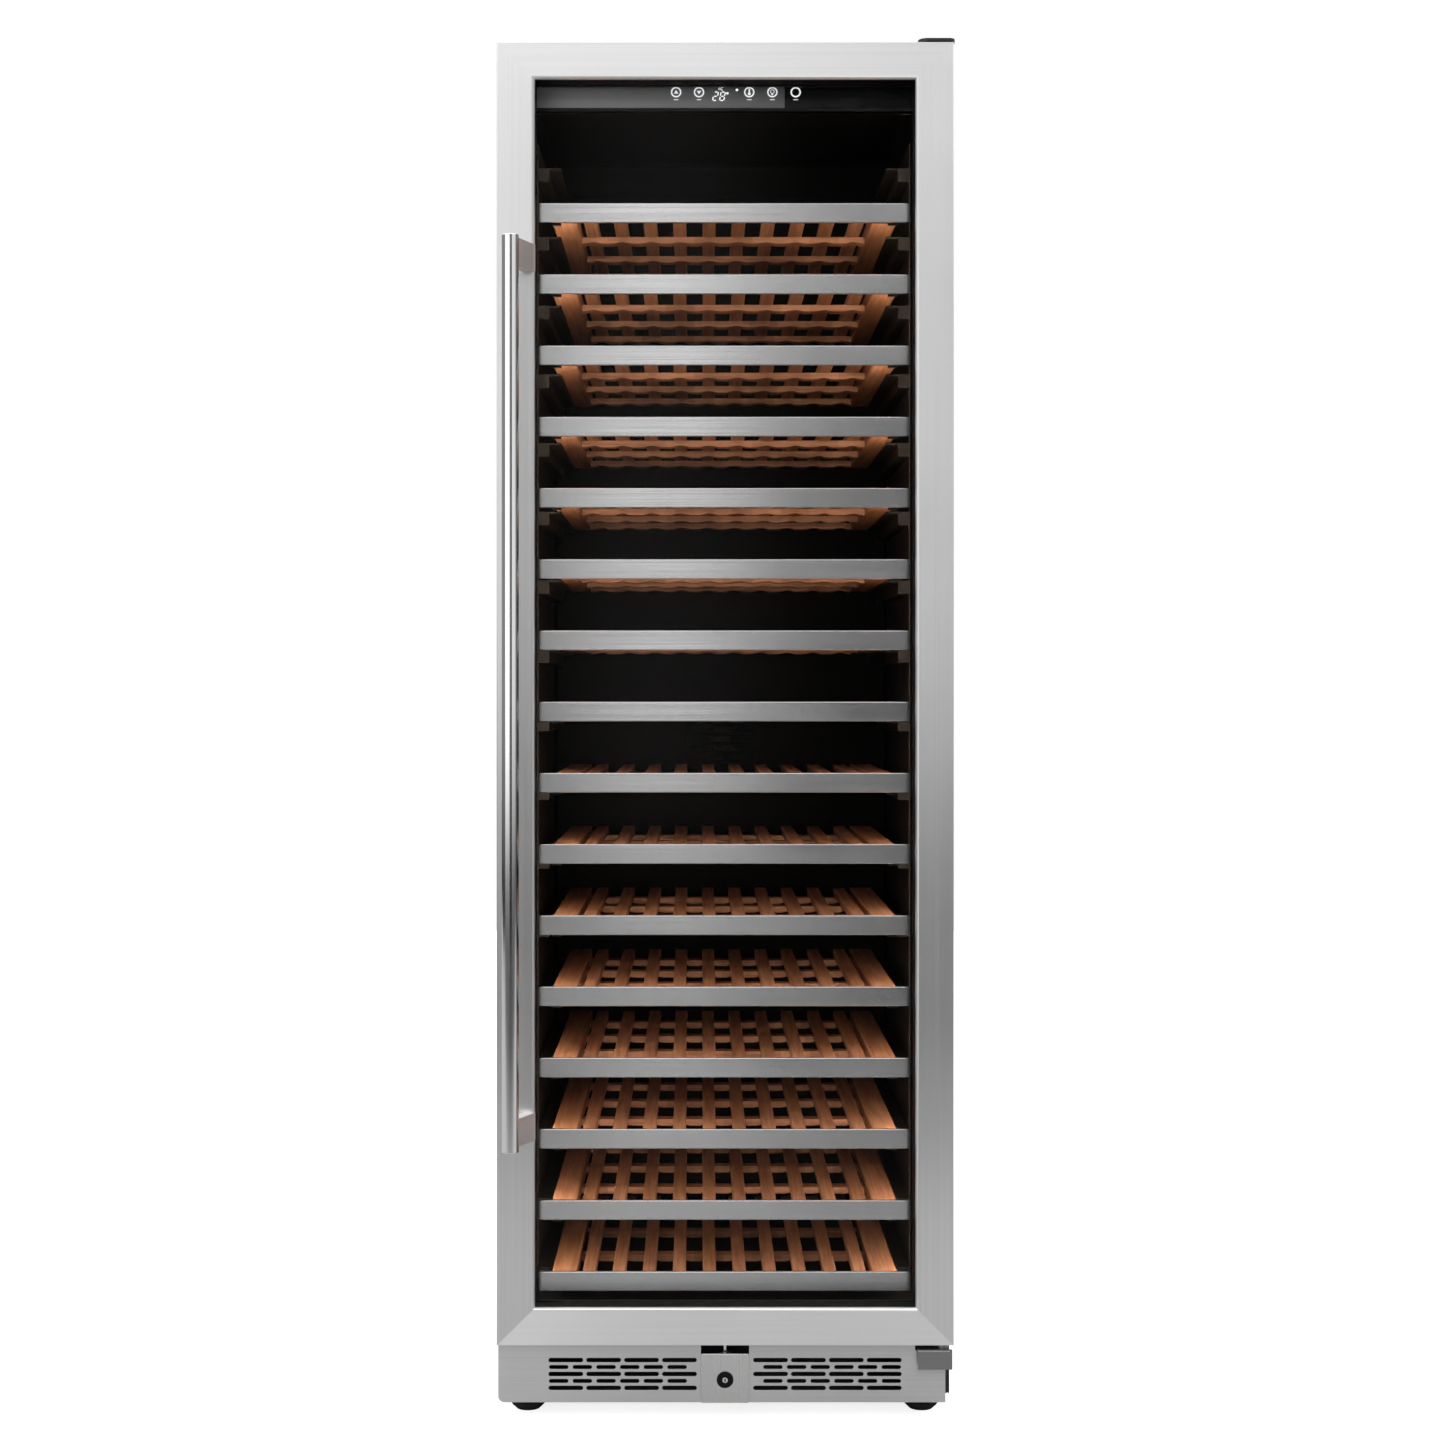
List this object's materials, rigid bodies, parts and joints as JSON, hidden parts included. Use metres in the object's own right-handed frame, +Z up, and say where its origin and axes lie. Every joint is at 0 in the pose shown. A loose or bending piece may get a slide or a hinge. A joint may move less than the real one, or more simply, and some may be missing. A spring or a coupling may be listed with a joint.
{
  "type": "wine cooler",
  "caption": "Tall built-in wine cooler with a hinged glass door, long bar handle, sliding wooden shelves with steel trims, and a lockable vented kick plate.",
  "frame": {"origin": "middle of the footprint at floor level", "axes": "+Z up, -Y towards the user at the door, +X to the user's right, where the hinges are"},
  "size_m": [0.597, 0.733, 1.804],
  "materials": {
    "brushed_stainless": "satin",
    "bright_steel": "polished",
    "shelf_steel": "satin",
    "black_painted_steel": "satin",
    "black_plastic": "satin",
    "runner_plastic": "satin",
    "gloss_black": "gloss",
    "clear_glass": "polished",
    "gasket_rubber": "matte",
    "foot_rubber": "matte",
    "beech_wood": "satin"
  },
  "bodies": {
    "cabinet": {"outer_casing": "black_painted_steel", "inner_liner": "black_plastic", "air_panel": "black_plastic", "shelf_rail_left": "runner_plastic", "shelf_rail_right": "runner_plastic", "control_panel": "gloss_black", "base_frame": "black_painted_steel", "kick_grille": "brushed_stainless", "lock_plate": "brushed_stainless", "compressor": "black_painted_steel", "top_hinge": "black_painted_steel", "bottom_hinge": "brushed_stainless"},
    "door": {"door_frame": "brushed_stainless", "door_core": "black_plastic", "door_glass_outer": "clear_glass", "door_glass_inner": "clear_glass", "door_gasket": "gasket_rubber", "handle_bar": "brushed_stainless", "handle_bracket_top": "brushed_stainless", "handle_bracket_bottom": "brushed_stainless"},
    "shelf_01": {"shelf_01_rack": "beech_wood", "shelf_01_trim": "shelf_steel"},
    "shelf_02": {"shelf_02_rack": "beech_wood", "shelf_02_trim": "shelf_steel"},
    "shelf_03": {"shelf_03_rack": "beech_wood", "shelf_03_trim": "shelf_steel"},
    "shelf_04": {"shelf_04_rack": "beech_wood", "shelf_04_trim": "shelf_steel"},
    "shelf_05": {"shelf_05_rack": "beech_wood", "shelf_05_trim": "shelf_steel"},
    "shelf_06": {"shelf_06_rack": "beech_wood", "shelf_06_trim": "shelf_steel"},
    "shelf_07": {"shelf_07_rack": "beech_wood", "shelf_07_trim": "shelf_steel"},
    "shelf_08": {"shelf_08_rack": "beech_wood", "shelf_08_trim": "shelf_steel"},
    "shelf_09": {"shelf_09_rack": "beech_wood", "shelf_09_trim": "shelf_steel"},
    "shelf_10": {"shelf_10_rack": "beech_wood", "shelf_10_trim": "shelf_steel"},
    "shelf_11": {"shelf_11_rack": "beech_wood", "shelf_11_trim": "shelf_steel"},
    "shelf_12": {"shelf_12_rack": "beech_wood", "shelf_12_trim": "shelf_steel"},
    "shelf_13": {"shelf_13_rack": "beech_wood", "shelf_13_trim": "shelf_steel"},
    "shelf_14": {"shelf_14_rack": "beech_wood", "shelf_14_trim": "shelf_steel"},
    "shelf_15": {"shelf_15_rack": "beech_wood", "shelf_15_trim": "shelf_steel"},
    "shelf_16": {"shelf_16_rack": "beech_wood", "shelf_16_trim": "shelf_steel"},
    "evaporator_fan": {"evaporator_fan": "black_plastic"},
    "condenser_fan": {"condenser_fan": "black_plastic"},
    "lock_cylinder": {"lock_cylinder": "bright_steel"},
    "lock_bolt": {"lock_bolt": "bright_steel"},
    "foot_front_left": {"foot_front_left": "foot_rubber"},
    "foot_front_right": {"foot_front_right": "foot_rubber"},
    "foot_rear_left": {"foot_rear_left": "foot_rubber"},
    "foot_rear_right": {"foot_rear_right": "foot_rubber"}
  },
  "joints": [
    {"name": "door_hinge", "type": "hinge", "parent": "cabinet", "child": "door", "pos_m": [0.285, -0.2915, 0.95], "axis": [0, 0, 1], "range_deg": [0, 110]},
    {"name": "shelf_01_slide", "type": "slide", "parent": "cabinet", "child": "shelf_01", "axis": [0, -1, 0], "range_m": [0, 0.012]},
    {"name": "shelf_02_slide", "type": "slide", "parent": "cabinet", "child": "shelf_02", "axis": [0, -1, 0], "range_m": [0, 0.012]},
    {"name": "shelf_03_slide", "type": "slide", "parent": "cabinet", "child": "shelf_03", "axis": [0, -1, 0], "range_m": [0, 0.012]},
    {"name": "shelf_04_slide", "type": "slide", "parent": "cabinet", "child": "shelf_04", "axis": [0, -1, 0], "range_m": [0, 0.012]},
    {"name": "shelf_05_slide", "type": "slide", "parent": "cabinet", "child": "shelf_05", "axis": [0, -1, 0], "range_m": [0, 0.012]},
    {"name": "shelf_06_slide", "type": "slide", "parent": "cabinet", "child": "shelf_06", "axis": [0, -1, 0], "range_m": [0, 0.012]},
    {"name": "shelf_07_slide", "type": "slide", "parent": "cabinet", "child": "shelf_07", "axis": [0, -1, 0], "range_m": [0, 0.012]},
    {"name": "shelf_08_slide", "type": "slide", "parent": "cabinet", "child": "shelf_08", "axis": [0, -1, 0], "range_m": [0, 0.012]},
    {"name": "shelf_09_slide", "type": "slide", "parent": "cabinet", "child": "shelf_09", "axis": [0, -1, 0], "range_m": [0, 0.012]},
    {"name": "shelf_10_slide", "type": "slide", "parent": "cabinet", "child": "shelf_10", "axis": [0, -1, 0], "range_m": [0, 0.012]},
    {"name": "shelf_11_slide", "type": "slide", "parent": "cabinet", "child": "shelf_11", "axis": [0, -1, 0], "range_m": [0, 0.012]},
    {"name": "shelf_12_slide", "type": "slide", "parent": "cabinet", "child": "shelf_12", "axis": [0, -1, 0], "range_m": [0, 0.012]},
    {"name": "shelf_13_slide", "type": "slide", "parent": "cabinet", "child": "shelf_13", "axis": [0, -1, 0], "range_m": [0, 0.012]},
    {"name": "shelf_14_slide", "type": "slide", "parent": "cabinet", "child": "shelf_14", "axis": [0, -1, 0], "range_m": [0, 0.012]},
    {"name": "shelf_15_slide", "type": "slide", "parent": "cabinet", "child": "shelf_15", "axis": [0, -1, 0], "range_m": [0, 0.012]},
    {"name": "shelf_16_slide", "type": "slide", "parent": "cabinet", "child": "shelf_16", "axis": [0, -1, 0], "range_m": [0, 0.012]},
    {"name": "lock_turn", "type": "hinge", "parent": "cabinet", "child": "lock_cylinder", "pos_m": [0, -0.2935, 0.0526], "axis": [0, 1, 0], "range_deg": [0, 90]},
    {"name": "lock_bolt_slide", "type": "slide", "parent": "cabinet", "child": "lock_bolt", "axis": [0, 0, 1], "range_m": [0, 0.0102]},
    {"name": "evaporator_fan_spin", "type": "hinge", "parent": "cabinet", "child": "evaporator_fan", "pos_m": [0, 0.256, 0.88], "axis": [0, 1, 0], "continuous": true},
    {"name": "condenser_fan_spin", "type": "hinge", "parent": "cabinet", "child": "condenser_fan", "pos_m": [0.09, -0.181, 0.067], "axis": [0, 1, 0], "continuous": true},
    {"name": "foot_front_left_turn", "type": "hinge", "parent": "cabinet", "child": "foot_front_left", "pos_m": [-0.261, -0.2435, 0.03], "axis": [0, 0, 1], "range_deg": [0, 1080]},
    {"name": "foot_front_right_turn", "type": "hinge", "parent": "cabinet", "child": "foot_front_right", "pos_m": [0.261, -0.2435, 0.03], "axis": [0, 0, 1], "range_deg": [0, 1080]},
    {"name": "foot_rear_left_turn", "type": "hinge", "parent": "cabinet", "child": "foot_rear_left", "pos_m": [-0.261, 0.3265, 0.03], "axis": [0, 0, 1], "range_deg": [0, 1080]},
    {"name": "foot_rear_right_turn", "type": "hinge", "parent": "cabinet", "child": "foot_rear_right", "pos_m": [0.261, 0.3265, 0.03], "axis": [0, 0, 1], "range_deg": [0, 1080]}
  ],
  "couplings": [
    {"joint": "lock_turn", "follows": "lock_bolt_slide", "rad_per_m": 154}
  ]
}
